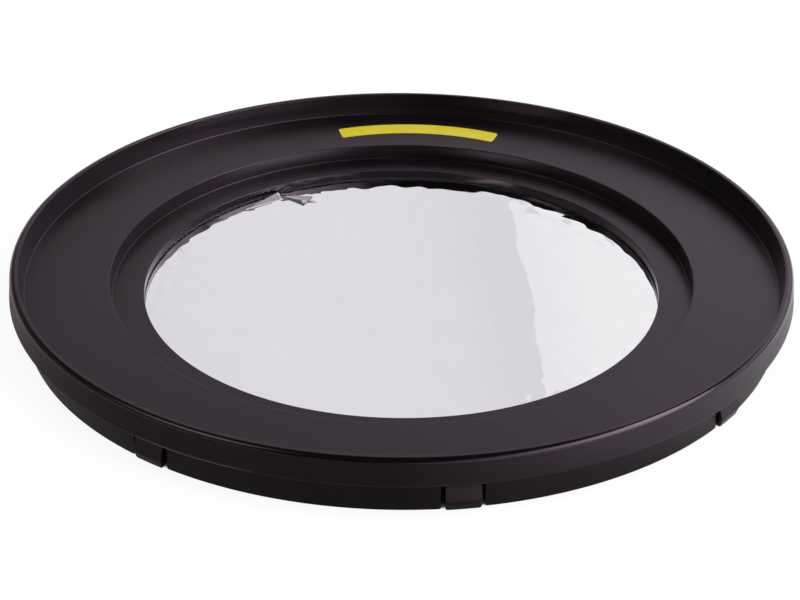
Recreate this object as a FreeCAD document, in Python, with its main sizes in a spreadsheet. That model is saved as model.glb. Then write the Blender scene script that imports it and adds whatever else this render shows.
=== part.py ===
import FreeCAD, Part
import Sketcher
import os

# Telescope solar filter: a moulded cell that plugs into the front ring of a tube and
# holds a disc of metallised film over the aperture.
# Frame: Z is the optical axis, z = 0 is the bottom edge of the plug skirt, and the
# sticker lies on the +Y side of the face.  Lengths are millimetres, angles degrees.

SIZES = (
    ("rim_radius", 120.0, "outer radius of the rim, at the seat"),
    ("rim_draft", 0.7, "how much narrower the rim is at its top"),
    ("rim_round", 1.2, "rounding of the rim's outer top edge"),
    ("lip_height", 7.0, "height of the lip above the face"),
    ("lip_land", 2.4, "width of the flat on top of the lip"),
    ("lip_flare", 1.3, "how much wider the dish is at its top than at its foot"),
    ("lip_foot_fillet", 0.8, "fillet between the lip and the face"),
    ("seat_width", 4.4, "width of the seat that rests on the tube's front ring"),
    ("seat_thickness", 1.2, "from the seat up to the face"),
    ("plate", 2.0, "thickness of the face and of the recess floor"),
    ("wall", 2.0, "thickness of the skirt and of the recess wall"),
    ("foot_clearance", 1.0, "how far the skirt's foot stands below the film collar"),
    ("face_width", 30.4, "from the rim's edge in to the recess"),
    ("recess_depth", 4.8, "depth of the recess floor below the face"),
    ("recess_draft", 0.4, "how much narrower the recess is at its floor"),
    ("recess_fillet", 0.8, "fillet at the foot of the recess wall"),
    ("floor_width", 10.2, "from the recess's edge in to the clear aperture"),
    ("edge_round", 0.3, "rounding of the small moulded edges"),
    ("gasket_thickness", 1.1, "thickness of the foam ring above the film"),
    ("gasket_setback", 0.4, "how far the foam ring stands back from the aperture"),
    ("film_thickness", 0.2, "thickness of the film disc"),
    ("retainer_thickness", 1.6, "thickness of the retaining ring"),
    ("retainer_gap", 0.15, "radial clearance of film, foam and ring in the collar"),
    ("retainer_bevel", 0.5, "bevel on the retaining ring's outer edges"),
    ("bead_height", 0.6, "height of the collar below the retaining ring"),
    ("bead_reach", 0.45, "how far the snap bead reaches in under the ring"),
    ("collar_step", 0.6, "how far the collar is set in from the recess wall"),
    ("tab_count", 8, "number of sprung tabs cut into the skirt"),
    ("tab_width", 9.9, "width of a tab round the skirt"),
    ("tab_phase", 8.4, "angle of the first tab from +X"),
    ("tab_land", 1.6, "height of the whole band of skirt above the slits"),
    ("tab_upright", 1.0, "height of a tab's upright part, above its lean"),
    ("tab_spring", 0.5, "how far a tab stands out of the skirt"),
    ("tab_nose", 2.6, "height of the lead-in at a tab's end"),
    ("tab_lead", 0.9, "how far the lead-in goes back in"),
    ("tab_corner", 0.7, "rounding of the skirt's corners beside the slits"),
    ("slit_width", 1.0, "width of the slit on each side of a tab"),
    ("sticker_radius", 70.0, "radius of the sticker's outer edge"),
    ("sticker_width", 7.0, "width of the sticker"),
    ("sticker_sweep", 47.5, "angle that the sticker covers on its own radius"),
    ("sticker_inset", 9.0, "from the lip's foot in to the sticker's outer edge"),
    ("sticker_turn", 3.1, "angle of the sticker's middle from +Y, towards +X"),
    ("sticker_thickness", 0.15, "thickness of the sticker"),
)

TURN_OVERLAP = 0.3       # how far a tab's root reaches into the skirt above it
BELOW = 1.0              # how far a slit's cutter reaches past the skirt's edge
NEAR = 0.01              # how closely an edge must match the place looked for

# Places that follow from the sizes, as expressions of the sheet.
RIM_TOP_RADIUS = "Sizes.rim_radius - Sizes.rim_draft"
LIP_TOP_RADIUS = f"{RIM_TOP_RADIUS} - Sizes.lip_land"
LIP_FOOT_RADIUS = f"{LIP_TOP_RADIUS} - Sizes.lip_flare"
SKIRT_RADIUS = "Sizes.rim_radius - Sizes.seat_width"
SKIRT_BORE = f"{SKIRT_RADIUS} - Sizes.wall"
RECESS_RADIUS = "Sizes.rim_radius - Sizes.face_width"
RECESS_FOOT_RADIUS = f"{RECESS_RADIUS} - Sizes.recess_draft"
RECESS_BACK = f"{RECESS_RADIUS} + Sizes.wall"
APERTURE_RADIUS = f"{RECESS_RADIUS} - Sizes.floor_width"
COLLAR_BORE = f"{RECESS_FOOT_RADIUS} - Sizes.collar_step"
HELD_RADIUS = f"{COLLAR_BORE} - Sizes.retainer_gap"
GASKET_BORE = f"{APERTURE_RADIUS} + Sizes.gasket_setback"
BEAD_RADIUS = f"{COLLAR_BORE} - Sizes.bead_reach"
STICKER_REACH = f"{LIP_FOOT_RADIUS} - Sizes.sticker_inset"

# Heights, from the skirt's foot up through what the skirt has to hide.
COLLAR_FOOT = "Sizes.foot_clearance"
RETAINER_BACK = f"{COLLAR_FOOT} + Sizes.bead_height"
FILM_BACK = f"{RETAINER_BACK} + Sizes.retainer_thickness"
FILM_TOP = f"{FILM_BACK} + Sizes.film_thickness"
FLOOR_BACK = f"{FILM_TOP} + Sizes.gasket_thickness"
FLOOR = f"{FLOOR_BACK} + Sizes.plate"
FACE = f"{FLOOR} + Sizes.recess_depth"
FACE_BACK = f"{FACE} - Sizes.plate"
SEAT = f"{FACE} - Sizes.seat_thickness"
LIP_TOP = f"{FACE} + Sizes.lip_height"
TAB_ROOT = f"{SEAT} - Sizes.tab_land"
TAB_BEND = f"{TAB_ROOT} - Sizes.tab_upright"

TAB_ANGLE = f"Sizes.tab_width / ({SKIRT_RADIUS}) * 180 / pi"
SLIT_ANGLE = f"Sizes.slit_width / ({SKIRT_RADIUS}) * 180 / pi"


def make_sheet(doc):
    """The driving dimensions, one row each: name, value and meaning."""
    sheet = doc.addObject("Spreadsheet::Sheet", "Sizes")
    for row, (name, number, meaning) in enumerate(SIZES, start=1):
        sheet.set(f"A{row}", name)
        sheet.set(f"B{row}", str(number))
        sheet.setAlias(f"B{row}", name)
        sheet.set(f"C{row}", meaning)
    doc.recompute()
    return sheet


def value(doc, expression):
    """What an expression of the sheet comes to, as a plain number."""
    return float(doc.Sizes.evalExpression(expression))


def origin_part(body, role):
    """One of a body's own origin planes or axes."""
    return next(item for item in body.Origin.OriginFeatures if item.Role == role)


def new_body(doc, name):
    body = doc.addObject("PartDesign::Body", name)
    body.Label = name
    return body


def section_sketch(body, name, corners):
    """A closed section in the XZ plane: each corner is a radius and a height."""
    doc = body.Document
    sketch = body.newObject("Sketcher::SketchObject", name)
    sketch.AttachmentSupport = [(origin_part(body, "XZ_Plane"), "")]
    sketch.MapMode = "FlatFace"
    spots = [FreeCAD.Vector(value(doc, radius), value(doc, height), 0) for radius, height in corners]
    count = len(corners)
    for index in range(count):
        sketch.addGeometry(Part.LineSegment(spots[index], spots[(index + 1) % count]), False)
    for index in range(count):
        sketch.addConstraint(Sketcher.Constraint("Coincident", index, 2, (index + 1) % count, 1))
    for index, (radius, height) in enumerate(corners):
        for kind, place, expression in (("DistanceX", spots[index].x, radius),
                                        ("DistanceY", spots[index].y, height)):
            number = sketch.addConstraint(Sketcher.Constraint(kind, -1, 1, index, 1, place))
            sketch.setExpression(f"Constraints[{number}]", expression)
    return sketch


def revolve(body, kind, name, sketch, angle=None):
    """A full turn of a section about Z, or an angle of it centred on its own plane."""
    feature = body.newObject(kind, name)
    feature.Profile = sketch
    feature.ReferenceAxis = (sketch, ["V_Axis"])
    feature.Angle = 360
    if angle:
        feature.Midplane = True
        feature.setExpression("Angle", angle)
    sketch.Visibility = False
    body.Document.recompute()
    return feature


def ring_edges(doc, feature, places):
    """Names of the circular edges that lie at the given radii and heights."""
    wanted = [(value(doc, radius), value(doc, height)) for radius, height in places]
    names = []
    for number, edge in enumerate(feature.Shape.Edges, start=1):
        if not isinstance(edge.Curve, Part.Circle):
            continue
        radius, height = edge.Curve.Radius, edge.Curve.Center.z
        if any(abs(radius - r) < NEAR and abs(height - z) < NEAR for r, z in wanted):
            names.append(f"Edge{number}")
    return names


def round_edges(body, name, base, names, size):
    """A fillet of one size on the named edges."""
    fillet = body.newObject("PartDesign::Fillet", name)
    fillet.Base = (base, names)
    fillet.setExpression("Radius", size)
    body.Document.recompute()
    return fillet


def slit_corners(feature):
    """Names of the straight edges at the skirt's foot: the corners beside the slits."""
    names = []
    for number, edge in enumerate(feature.Shape.Edges, start=1):
        if isinstance(edge.Curve, Part.Line) and all(abs(end.Z) < NEAR for end in edge.Vertexes):
            names.append(f"Edge{number}")
    return names


def make_cell(doc):
    """The moulded cell: rim, lip, face, recess, film collar, skirt and sprung tabs."""
    body = new_body(doc, "filter_cell")
    section = section_sketch(body, "CellSection", (
        (SKIRT_BORE, "0"),
        (SKIRT_RADIUS, "0"),
        (SKIRT_RADIUS, SEAT),
        ("Sizes.rim_radius", SEAT),
        (RIM_TOP_RADIUS, LIP_TOP),
        (LIP_TOP_RADIUS, LIP_TOP),
        (LIP_FOOT_RADIUS, FACE),
        (RECESS_RADIUS, FACE),
        (RECESS_FOOT_RADIUS, FLOOR),
        (APERTURE_RADIUS, FLOOR),
        (APERTURE_RADIUS, FLOOR_BACK),
        (COLLAR_BORE, FLOOR_BACK),
        (COLLAR_BORE, RETAINER_BACK),
        (BEAD_RADIUS, f"{RETAINER_BACK} - Sizes.bead_reach * 0.5"),
        (COLLAR_BORE, COLLAR_FOOT),
        (RECESS_BACK, COLLAR_FOOT),
        (RECESS_BACK, FACE_BACK),
        (SKIRT_BORE, FACE_BACK),
    ))
    turned = revolve(body, "PartDesign::Revolution", "CellTurn", section)

    steps = (
        ("RimRound", "Sizes.rim_round", ((RIM_TOP_RADIUS, LIP_TOP),)),
        ("LipFoot", "Sizes.lip_foot_fillet", ((LIP_FOOT_RADIUS, FACE),)),
        ("RecessFoot", "Sizes.recess_fillet", ((RECESS_FOOT_RADIUS, FLOOR),)),
        ("EdgeRound", "Sizes.edge_round", (
            (LIP_TOP_RADIUS, LIP_TOP),
            (RECESS_RADIUS, FACE),
            (APERTURE_RADIUS, FLOOR),
            ("Sizes.rim_radius", SEAT),
            (SKIRT_BORE, "0"),
            (RECESS_BACK, FACE_BACK),
            (SKIRT_BORE, FACE_BACK),
        )),
    )
    solid = turned
    for name, size, places in steps:
        solid = round_edges(body, name, solid, ring_edges(doc, solid, places), size)

    window = section_sketch(body, "SlitSection", (
        (f"{SKIRT_BORE} - {BELOW}", f"-{BELOW}"),
        (f"{SKIRT_RADIUS} + {BELOW}", f"-{BELOW}"),
        (f"{SKIRT_RADIUS} + {BELOW}", TAB_ROOT),
        (f"{SKIRT_BORE} - {BELOW}", TAB_ROOT),
    ))
    tab = section_sketch(body, "TabSection", (
        (f"{SKIRT_BORE} + Sizes.tab_spring", "0"),
        (f"{SKIRT_RADIUS} + Sizes.tab_spring - Sizes.tab_lead", "0"),
        (f"{SKIRT_RADIUS} + Sizes.tab_spring", "Sizes.tab_nose"),
        (SKIRT_RADIUS, TAB_BEND),
        (SKIRT_RADIUS, f"{TAB_ROOT} + {TURN_OVERLAP}"),
        (SKIRT_BORE, f"{TAB_ROOT} + {TURN_OVERLAP}"),
        (SKIRT_BORE, TAB_BEND),
    ))
    for sketch in (window, tab):
        sketch.AttachmentOffset = FreeCAD.Placement(
            FreeCAD.Vector(0, 0, 0), FreeCAD.Rotation(FreeCAD.Vector(0, 1, 0), 1))
        sketch.setExpression("AttachmentOffset.Rotation.Angle", "Sizes.tab_phase")
    doc.recompute()
    before = solid.Shape.Volume
    slits = revolve(body, "PartDesign::Groove", "SlitCut", window,
                    f"{TAB_ANGLE} + 2 * {SLIT_ANGLE}")
    if slits.Shape.Volume >= before:
        raise RuntimeError("the slits cut nothing")
    tongue = revolve(body, "PartDesign::Revolution", "Tab", tab, TAB_ANGLE)

    pattern = body.newObject("PartDesign::PolarPattern", "TabPattern")
    pattern.Originals = [slits, tongue]
    pattern.Axis = (origin_part(body, "Z_Axis"), [""])
    pattern.Angle = 360
    pattern.setExpression("Occurrences", "Sizes.tab_count")
    body.Tip = pattern
    doc.recompute()
    round_edges(body, "SlitCorners", pattern, slit_corners(pattern), "Sizes.tab_corner")
    return body


def make_gasket(doc):
    """The foam ring that the film lies against, under the recess floor."""
    body = new_body(doc, "film_gasket")
    section = section_sketch(body, "GasketSection", (
        (GASKET_BORE, FILM_TOP),
        (HELD_RADIUS, FILM_TOP),
        (HELD_RADIUS, FLOOR_BACK),
        (GASKET_BORE, FLOOR_BACK),
    ))
    revolve(body, "PartDesign::Revolution", "GasketTurn", section)
    return body


def make_film(doc):
    """The disc of metallised film, out to the collar."""
    body = new_body(doc, "solar_film")
    section = section_sketch(body, "FilmSection", (
        ("0", FILM_BACK),
        (HELD_RADIUS, FILM_BACK),
        (HELD_RADIUS, FILM_TOP),
        ("0", FILM_TOP),
    ))
    revolve(body, "PartDesign::Revolution", "FilmTurn", section)
    return body


def make_retainer(doc):
    """The ring that snaps in behind the film, bevelled to pass the bead."""
    body = new_body(doc, "retaining_ring")
    bevel = "Sizes.retainer_bevel"
    section = section_sketch(body, "RetainerSection", (
        (GASKET_BORE, RETAINER_BACK),
        (f"{HELD_RADIUS} - {bevel}", RETAINER_BACK),
        (HELD_RADIUS, f"{RETAINER_BACK} + {bevel}"),
        (HELD_RADIUS, f"{FILM_BACK} - {bevel}"),
        (f"{HELD_RADIUS} - {bevel}", FILM_BACK),
        (GASKET_BORE, FILM_BACK),
    ))
    turned = revolve(body, "PartDesign::Revolution", "RetainerTurn", section)
    inner = ring_edges(doc, turned, ((GASKET_BORE, RETAINER_BACK),))
    round_edges(body, "RetainerEdge", turned, inner, "Sizes.edge_round")
    return body


def make_sticker(doc):
    """The curved yellow sticker on the face, turned about its own arc's centre."""
    body = new_body(doc, "sticker_strip")
    inner = "Sizes.sticker_radius - Sizes.sticker_width"
    section = section_sketch(body, "StickerSection", (
        (inner, "0"),
        ("Sizes.sticker_radius", "0"),
        ("Sizes.sticker_radius", "Sizes.sticker_thickness"),
        (inner, "Sizes.sticker_thickness"),
    ))
    revolve(body, "PartDesign::Revolution", "StickerTurn", section, "Sizes.sticker_sweep")
    body.Placement = FreeCAD.Placement(
        FreeCAD.Vector(0, 0, 0), FreeCAD.Rotation(FreeCAD.Vector(0, 0, 1), 90))
    body.setExpression("Placement.Rotation.Angle", "90 - Sizes.sticker_turn")
    centre = f"({STICKER_REACH} - Sizes.sticker_radius)"
    body.setExpression("Placement.Base.x", f"{centre} * sin(Sizes.sticker_turn * 1deg)")
    body.setExpression("Placement.Base.y", f"{centre} * cos(Sizes.sticker_turn * 1deg)")
    body.setExpression("Placement.Base.z", FACE)
    return body


def main():
    doc = FreeCAD.newDocument("SolarFilter")
    make_sheet(doc)
    bodies = [make(doc) for make in (make_cell, make_gasket, make_film, make_retainer, make_sticker)]
    doc.recompute()

    for item in doc.Objects:
        if "Invalid" in item.State or "Error" in item.State:
            raise RuntimeError(f"{item.Name} failed to compute: {item.State}")
    for body in bodies:
        if body.Shape.isNull() or not body.Shape.isValid():
            raise RuntimeError(f"{body.Label} has no valid shape")

    os.makedirs("parts", exist_ok=True)
    for body in bodies:
        body.Shape.exportStep(f"parts/{body.Label}.step")


main()
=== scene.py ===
import math

import bmesh
import bpy
from bpy.props import FloatProperty, FloatVectorProperty, PointerProperty
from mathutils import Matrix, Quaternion, Vector, noise


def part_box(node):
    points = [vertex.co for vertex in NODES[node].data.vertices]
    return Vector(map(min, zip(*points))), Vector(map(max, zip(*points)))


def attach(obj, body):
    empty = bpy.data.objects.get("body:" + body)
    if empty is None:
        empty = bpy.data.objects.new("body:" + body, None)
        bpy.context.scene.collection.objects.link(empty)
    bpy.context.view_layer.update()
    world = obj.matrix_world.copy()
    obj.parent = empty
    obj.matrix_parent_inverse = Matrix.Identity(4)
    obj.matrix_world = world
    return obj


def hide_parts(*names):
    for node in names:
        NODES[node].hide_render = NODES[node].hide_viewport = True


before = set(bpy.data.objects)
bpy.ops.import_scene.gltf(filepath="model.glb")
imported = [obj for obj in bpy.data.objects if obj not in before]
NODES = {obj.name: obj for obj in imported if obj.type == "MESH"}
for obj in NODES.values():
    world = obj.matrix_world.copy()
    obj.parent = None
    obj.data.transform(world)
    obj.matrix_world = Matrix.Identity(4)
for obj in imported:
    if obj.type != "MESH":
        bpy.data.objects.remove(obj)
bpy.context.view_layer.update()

bl_info = {
    "name": "Telescope solar filter",
    "version": (1, 0, 0),
    "blender": (4, 5, 0),
    "location": "View3D > Sidebar > Solar Filter",
    "description": "Full-aperture solar filter with a moulded cell and a metallised film",
    "category": "Add Mesh",
}

# Lengths below are millimetres unless a name says otherwise.
MM = 0.001
BODY = "root"


def node_reach(name):
    """Smallest distance from the axis to a side of a node's box, in millimetres."""
    low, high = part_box(name)
    return min(high[0], high[1], -low[0], -low[1]) / MM


def node_heights(name):
    """Lowest and highest point of a node, in millimetres."""
    low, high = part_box(name)
    return low[2] / MM, high[2] / MM


# Radii of the cell, outside to inside.
RIM = node_reach("filter_cell")
RIM_TOP = RIM - 0.7
LIP_TOP_INNER = RIM_TOP - 2.4
LIP_FOOT = LIP_TOP_INNER - 1.3
SKIRT = RIM - 4.4
SKIRT_BORE = SKIRT - 2.0
RECESS = RIM - 30.4
RECESS_FOOT = RECESS - 0.4
RECESS_BACK = RECESS + 2.0
APERTURE = RECESS - 10.2
COLLAR_BORE = 88.6
BEAD = COLLAR_BORE - 0.45
GUARD = APERTURE + 0.3

# Heights of the cell, from the skirt's foot up.
LIP_TOP = node_heights("filter_cell")[1]
FACE = LIP_TOP - 7.0
FACE_BACK = FACE - 2.0
SEAT = FACE - 1.2
FLOOR = FACE - 4.8
FLOOR_BACK = FLOOR - 2.0
COLLAR_FOOT = 1.0
RING_BACK = 1.6
BEAD_MIDDLE = RING_BACK - 0.225
GUARD_FOOT = FLOOR_BACK - 0.5
TAB_ROOT = SEAT - 1.6
TAB_BEND = TAB_ROOT - 1.0
BAND_TOP = TAB_ROOT + 0.6
BORE_BAND_TOP = TAB_ROOT + 0.35

# Sprung tabs.
TAB_COUNT = 8
TAB_PHASE_DEG = 8.4
TAB_WIDTH = 9.9
TAB_NOSE = 2.6
TAB_LEAD = 0.9
SLIT = 1.0
CORNER_ROUND = 0.7
EDGE_ROUND = 0.25
SECTOR_DEG = 360 / TAB_COUNT
TAB_HALF_DEG = math.degrees(TAB_WIDTH / 2 / SKIRT)
SLIT_OUTER_DEG = TAB_HALF_DEG + math.degrees(SLIT / SKIRT)
MM_PER_DEG = math.radians(SKIRT)

COLUMNS = 576
SUPPORT = 0.25
SHARP_DEG = 35
SMALL_ROUND = 0.5
SMALL_ROUND_STEP_DEG = 18
WIDE_ROUND_STEP_DEG = 10

# Film.
FILM_RADIUS = node_reach("solar_film")
FILM_BACK, FILM_TOP = node_heights("solar_film")
GASKET_BORE = APERTURE + 0.4


# Small helpers for sections and meshes.

def corner_arc(before, corner, after, radius):
    """Points that round a corner between its two neighbours."""
    before, corner, after = Vector(before), Vector(corner), Vector(after)
    one, two = (before - corner).normalized(), (after - corner).normalized()
    half = one.angle(two) / 2
    start, end = corner + one * radius / math.tan(half), corner + two * radius / math.tan(half)
    centre = corner + (one + two).normalized() * radius / math.sin(half)
    first = math.atan2(*(start - centre).yx)
    turn = math.atan2(*(end - centre).yx) - first
    turn = (turn + math.pi) % (2 * math.pi) - math.pi
    step_deg = WIDE_ROUND_STEP_DEG if radius > SMALL_ROUND else SMALL_ROUND_STEP_DEG
    steps = max(2, round(abs(math.degrees(turn)) / step_deg))
    spots = []
    for step in range(steps + 1):
        angle = first + turn * step / steps
        spots.append((centre.x + radius * math.cos(angle), centre.y + radius * math.sin(angle)))
    return spots


def section_points(corners):
    """An open section: each corner is a radius, a height and a rounding."""
    points = []
    for index, (radius, height, rounding) in enumerate(corners):
        if rounding and 0 < index < len(corners) - 1:
            points.extend(corner_arc(corners[index - 1][:2], (radius, height),
                                     corners[index + 1][:2], rounding))
        else:
            points.append((radius, height))
    return with_supports(points)


def with_supports(points):
    """Adds a point near both ends of each long run, so that flat parts shade flat."""
    spaced = [points[0]]
    for one, two in zip(points, points[1:]):
        run = math.dist(one, two)
        if run > 4 * SUPPORT:
            part = SUPPORT / run
            for share in (part, 1 - part):
                spaced.append((one[0] + (two[0] - one[0]) * share,
                               one[1] + (two[1] - one[1]) * share))
        spaced.append(two)
    return spaced


def turned_point(radius, degrees, height):
    """A point in metres from a radius and height in millimetres and an angle."""
    angle = math.radians(degrees)
    return (radius * math.cos(angle) * MM, radius * math.sin(angle) * MM, height * MM)


def object_from(name, bm, material, slot, *replaced):
    """Makes an object of a bmesh, hangs it on the body and hides the nodes that it replaces."""
    bmesh.ops.recalc_face_normals(bm, faces=bm.faces)
    mesh = bpy.data.meshes.new(name)
    bm.to_mesh(mesh)
    bm.free()
    mesh.shade_smooth()
    mesh.set_sharp_from_angle(angle=math.radians(SHARP_DEG))
    mesh.materials.append(material)
    piece = bpy.data.objects.new(name, mesh)
    bpy.context.scene.collection.objects.link(piece)
    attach(piece, BODY)
    if replaced:
        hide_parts(*replaced)
    return piece


# Moulded cell.

# Corners of the cell's section above the slits' roots: radius, height and rounding.
CELL_SECTION = (
    (SKIRT, BAND_TOP, 0),
    (SKIRT, SEAT, 0.12),
    (RIM, SEAT, 0.3),
    (RIM_TOP, LIP_TOP, 1.55),
    (LIP_TOP_INNER, LIP_TOP, 0.3),
    (LIP_FOOT, FACE, 0.3),
    (RECESS, FACE, 0.3),
    (RECESS_FOOT, FLOOR, 0.25),
    (APERTURE, FLOOR, 0.18),
    (APERTURE, GUARD_FOOT, 0.1),
    (GUARD, GUARD_FOOT, 0),
    (GUARD, FLOOR_BACK, 0),
    (COLLAR_BORE, FLOOR_BACK, 0),
    (COLLAR_BORE, RING_BACK, 0),
    (BEAD, BEAD_MIDDLE, 0.1),
    (COLLAR_BORE, COLLAR_FOOT, 0.1),
    (RECESS_BACK, COLLAR_FOOT, 0.2),
    (RECESS_BACK, FACE_BACK, 0.3),
    (SKIRT_BORE, FACE_BACK, 0.3),
    (SKIRT_BORE, BORE_BAND_TOP, 0),
)
# Heights of the skirt's rows below the slits' roots, outside going down and inside going up.
OUTER_ROWS = (8.1, TAB_BEND, 6.4, 5.2, 4.0, 3.2, 2.6, 2.0, 1.2, 0.5, 0.15)
INNER_ROWS = (0.3, 0.8, 2.0, 4.0, 6.0, TAB_BEND, 8.1)
FOOT_OUTSIDE = ((0.044, 0.044), (0.15, 0.0))
FOOT_INSIDE = ((0.3, 0.0), (0.088, 0.088))


def round_drop(distance, radius):
    """How far a quarter-round edge has fallen away at a distance from its end."""
    if distance >= radius:
        return 0.0
    return radius - math.sqrt(radius ** 2 - (radius - distance) ** 2)


def edge_steps(radius, count):
    """Distances from an edge at which its quarter round is divided."""
    return [radius * (1 - math.sin(math.pi / 2 * step / count)) for step in range(count + 1)]


def skirt_region(degrees):
    """Whether an angle lies in a tab, a slit or the plain skirt, and how far from a slit."""
    offset = abs((degrees - TAB_PHASE_DEG + SECTOR_DEG / 2) % SECTOR_DEG - SECTOR_DEG / 2)
    near = 1e-6
    if offset <= TAB_HALF_DEG + near:
        return "tab", max(0.0, (TAB_HALF_DEG - offset) * MM_PER_DEG)
    if offset < SLIT_OUTER_DEG - near:
        return "slit", 0.0
    return "skirt", max(0.0, (offset - SLIT_OUTER_DEG) * MM_PER_DEG)


def tab_lean(height, spring):
    """How far a tab's outer and inner faces stand out at a height."""
    outer = spring * (TAB_BEND - height) / (TAB_BEND - TAB_NOSE)
    lead = spring - TAB_LEAD * (TAB_NOSE - height) / TAB_NOSE
    blend = 0.06
    outer = min(outer, lead) - max(0.0, blend - abs(outer - lead)) / 4 if height < TAB_BEND else 0.0
    inner = spring * max(0.0, TAB_BEND - height) / TAB_BEND
    return outer, inner


def skirt_chain(degrees, spring):
    """The skirt's section below the slits' roots at one angle, outside to inside."""
    region, distance = skirt_region(degrees)
    lift = round_drop(distance, CORNER_ROUND)
    drop = round_drop(distance, EDGE_ROUND)
    rows = [(SKIRT, height, 0) for height in OUTER_ROWS]
    rows += [(SKIRT - inward, height, 0) for inward, height in FOOT_OUTSIDE]
    rows += [(SKIRT_BORE + inward, height, 1) for inward, height in FOOT_INSIDE]
    rows += [(SKIRT_BORE, height, 1) for height in INNER_ROWS]
    points = []
    for radius, height, side in rows:
        if region == "tab":
            radius += tab_lean(height, spring)[side]
        fade = min(1.0, (TAB_ROOT - height) / 0.4)
        radius += (drop if side else -drop) * fade
        points.append(turned_point(radius, degrees, height + lift * (1 - height / TAB_ROOT)))
    return points


def skirt_angles():
    """All angles of the skirt's columns: the even ones and those beside the slits."""
    steps = sorted(set(edge_steps(CORNER_ROUND, 4) + edge_steps(EDGE_ROUND, 3)))
    even = [TAB_PHASE_DEG + 360 * index / COLUMNS for index in range(COLUMNS)]
    extra = []
    for tab in range(TAB_COUNT):
        centre = TAB_PHASE_DEG + SECTOR_DEG * tab
        for step in steps:
            for offset in (TAB_HALF_DEG - step / MM_PER_DEG, SLIT_OUTER_DEG + step / MM_PER_DEG):
                extra.extend((centre + offset, centre - offset))
    angles = [(angle % 360, True) for angle in even]
    angles += [(angle % 360, False) for angle in extra]
    return sorted(angles)


def cell_bmesh(spring):
    """The whole moulding as one closed skin."""
    bm = bmesh.new()
    upper = section_points(CELL_SECTION)
    angles = skirt_angles()
    count = len(angles)
    rings = {}
    chains, outer_roots, inner_roots = [], [], []
    for index, (degrees, is_even) in enumerate(angles):
        outer_roots.append(bm.verts.new(turned_point(SKIRT, degrees, TAB_ROOT)))
        inner_roots.append(bm.verts.new(turned_point(SKIRT_BORE, degrees, TAB_ROOT)))
        if is_even:
            rings[index] = [bm.verts.new(turned_point(r, degrees, z)) for r, z in upper]
        if skirt_region(degrees)[0] == "slit":
            chains.append(None)
        else:
            chains.append([outer_roots[-1],
                           *(bm.verts.new(spot) for spot in skirt_chain(degrees, spring)),
                           inner_roots[-1]])

    even = sorted(rings)
    for one, two in zip(even, even[1:] + [even[0]]):
        first, second = rings[one], rings[two]
        for row in range(len(upper) - 1):
            bm.faces.new((first[row], second[row], second[row + 1], first[row + 1]))
        span = [(one + step) % count for step in range((two - one) % count + 1)]
        bm.faces.new([first[0], *(outer_roots[index] for index in span), second[0]])
        bm.faces.new([first[-1], *(inner_roots[index] for index in span), second[-1]])

    is_slit = []
    for index in range(count):
        ahead = (index + 1) % count
        middle = (angles[index][0] + (angles[ahead][0] - angles[index][0]) % 360 / 2) % 360
        is_slit.append(skirt_region(middle)[0] == "slit")
        if is_slit[-1]:
            bm.faces.new((outer_roots[index], outer_roots[ahead],
                          inner_roots[ahead], inner_roots[index]))
            continue
        first, second = chains[index], chains[ahead]
        for row in range(len(first) - 1):
            bm.faces.new((first[row], first[row + 1], second[row + 1], second[row]))
    for index in range(count):
        if is_slit[index] != is_slit[index - 1]:
            bm.faces.new(chains[index])
    return bm


# Metallised film.

# Creases are small three-sided tents and dents, and furrows run beside them. Each has its
# corners and the slope from each of its sides, and a dent's slopes are negative. Each furrow has
# its ends, the places of its front, lowest and back line at its wide end, and its depth there.
CREASES = (
    ((Vector((-40.7, 65.8)), Vector((-33.0, 58.4)), Vector((-30.2, 65.6))), (-0.150, -1.4, -1.2)),
    ((Vector((-52.6, 55.0)), Vector((-40.2, 63.4)), Vector((-41.4, 67.4))), (0.36, 2.4, 3.0)),
)
CREASE_TURN_DEG = 122
# A place beside the crease where the edge ripples die away.
CALM_PLACE = (-46.5, 59.0)
FURROWS = (
    ((Vector((-33.6, 62.6)), Vector((-26.6, 61.0))), (-1.9, 1.0, 1.4), 0.29),
    ((Vector((-40.6, 66.6)), Vector((-31.5, 67.4))), (-0.8, 0.4, 0.9), 0.25),
)
# A place near the edge where the film bulges up: its angle, half its sweep, its height and how
# far inside the edge it is highest.
BULGE = (54, 11, 0.33, 1.2)


def film_height(x, y, ripple, slack, crease):
    """How far the film stands off its flat disc, in millimetres."""
    radius = math.hypot(x, y)
    inside = GASKET_BORE - radius
    if inside <= 0:
        return 0.0
    hold = 1 - math.exp(-inside / 2.2)
    angle = math.atan2(y, x)
    arc = angle * GASKET_BORE
    near_edge = (inside / 3.0) * math.exp(1 - inside / 3.0)
    spot = Vector((x, y, 0.0))
    wave = noise.noise(spot / 6.5 + Vector((0, 0, 3.1)))
    wave += 0.5 * noise.noise(Vector((math.cos(angle) * 5.0, math.sin(angle) * 5.0, 6.3)))
    pucker = abs(noise.noise(spot / 5.2 + Vector((2.7, 0, 7.7)))) - 0.25
    calm = min(1.0, max(0.25, 0.25 + (y + 10) / 40))
    calm *= min(1.0, 0.1 + math.dist((x, y), CALM_PLACE) / 9)
    height = ripple * calm * (near_edge * wave + math.exp(-((inside - 4.6) / 3.4) ** 2) * pucker)
    swell = 2.4 * noise.noise(spot / 34 + Vector((0, 0, 4.2)))
    swell += 0.55 * noise.noise(spot / 11 + Vector((0, 0, 8.6)))
    swell += 0.16 * noise.noise(spot / 4.3 + Vector((0, 0, 2.2)))
    turn, sweep, rise, crest = BULGE
    share = math.exp(-((math.degrees(angle) - turn) / sweep) ** 2)
    height += rise * share * inside / crest * math.exp(1 - inside / crest)
    return height + slack * hold * swell + crease * crease_height(x, y)


def side_distance(spot, start, end):
    """How far a spot lies to the left of the line from start to end, and how far along it."""
    run = (end - start).normalized()
    away = spot - start
    return away.y * run.x - away.x * run.y, away.dot(run) / (end - start).length


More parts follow.
